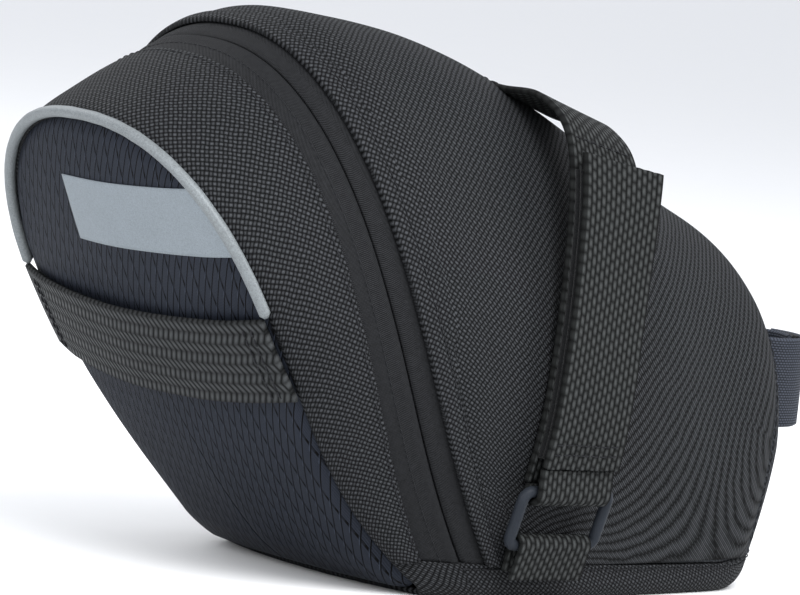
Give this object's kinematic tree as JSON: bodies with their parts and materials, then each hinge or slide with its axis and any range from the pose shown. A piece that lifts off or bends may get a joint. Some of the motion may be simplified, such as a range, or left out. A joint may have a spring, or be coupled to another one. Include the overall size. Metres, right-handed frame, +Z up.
{
  "type": "saddle bag",
  "caption": "Wedge-shaped saddle bag with a padded rear panel that opens as a lid, straps for the saddle rails and a seat-post loop.",
  "frame": {"origin": "under the middle of the whole bag, on the flat base", "axes": "+X forward to the seat post, +Y to the rider's left, +Z up"},
  "size_m": [0.215, 0.112, 0.1227],
  "materials": {
    "shell_fabric": "coarse plain weave",
    "ripstop": "padded ripstop",
    "webbing": "woven webbing",
    "reflective": "retro-reflective",
    "lining": "thin coated cloth",
    "foam": "closed-cell foam",
    "board": "sheet plastic",
    "zip_tape": "twill tape",
    "zip_coil": "moulded coil",
    "hook_loop": "hook and loop tape",
    "post_strap": "smooth hook and loop strap",
    "ring_plastic": "satin moulded",
    "zip_metal": "black satin",
    "pull_rubber": "moulded"
  },
  "bodies": {
    "main_shell": {"wrap_panel": "shell_fabric", "front_panel": "shell_fabric", "bottom_panel": "shell_fabric", "shell_hem": "shell_fabric", "main_zip_tape": "zip_tape", "main_zip_coil": "zip_coil", "main_lining": "lining", "base_board": "board", "post_strap_inner": "post_strap", "post_loop_tape": "hook_loop", "rail_strap_left": "webbing", "loop_tape_left": "hook_loop", "ring_tab_left": "webbing", "rail_strap_right": "webbing", "loop_tape_right": "hook_loop", "ring_tab_right": "webbing"},
    "rear_shell": {"rear_panel": "ripstop", "rear_foam": "foam", "rear_gusset": "shell_fabric", "rear_base": "shell_fabric", "rear_lining": "lining", "rear_zip_tape": "zip_tape", "rear_zip_coil": "zip_coil", "reflective_piping": "reflective", "reflective_patch": "reflective", "light_loop": "webbing"},
    "slider": {"zip_slider": "zip_metal"},
    "pull": {"pull_tab": "zip_metal", "pull_grip": "pull_rubber"},
    "post_outer": {"post_strap_outer": "post_strap", "post_hook_tape": "hook_loop"},
    "ring_left": {"strap_ring_left": "ring_plastic", "strap_fold_left": "webbing"},
    "tail_left": {"strap_tail_left": "webbing", "hook_tape_left": "hook_loop"},
    "ring_right": {"strap_ring_right": "ring_plastic", "strap_fold_right": "webbing"},
    "tail_right": {"strap_tail_right": "webbing", "hook_tape_right": "hook_loop"}
  },
  "joints": [
    {"name": "rear_shell_hinge", "type": "hinge", "parent": "main_shell", "child": "rear_shell", "pos_m": [-0.014, 0, 0], "axis": [0, -1, 0], "range_deg": [0, 80]},
    {"name": "slider_slide", "type": "slide", "parent": "main_shell", "child": "slider", "axis": [-0.5391, 0.1676, 0.8254], "range_m": [0, 0.014]},
    {"name": "pull_swing", "type": "hinge", "parent": "slider", "child": "pull", "pos_m": [-0.0349, 0.05114, 0.02756], "axis": [0.8372, 0, 0.5469], "range_deg": [0, 130]},
    {"name": "post_outer_open", "type": "hinge", "parent": "main_shell", "child": "post_outer", "pos_m": [0.0852, -0.0125, 0.0465], "axis": [0, 0, -1], "range_deg": [0, 70]},
    {"name": "ring_swing_left", "type": "hinge", "parent": "main_shell", "child": "ring_left", "pos_m": [0, 0.045, 0.0132], "axis": [-1, 0, 0], "range_deg": [0, 25]},
    {"name": "tail_peel_left", "type": "hinge", "parent": "ring_left", "child": "tail_left", "pos_m": [0, 0.0531, 0.03085], "axis": [-1, 0, 0], "range_deg": [0, 150]},
    {"name": "ring_swing_right", "type": "hinge", "parent": "main_shell", "child": "ring_right", "pos_m": [0, -0.045, 0.0132], "axis": [1, 0, 0], "range_deg": [0, 25]},
    {"name": "tail_peel_right", "type": "hinge", "parent": "ring_right", "child": "tail_right", "pos_m": [0, -0.0531, 0.03085], "axis": [1, 0, 0], "range_deg": [0, 150]}
  ]
}
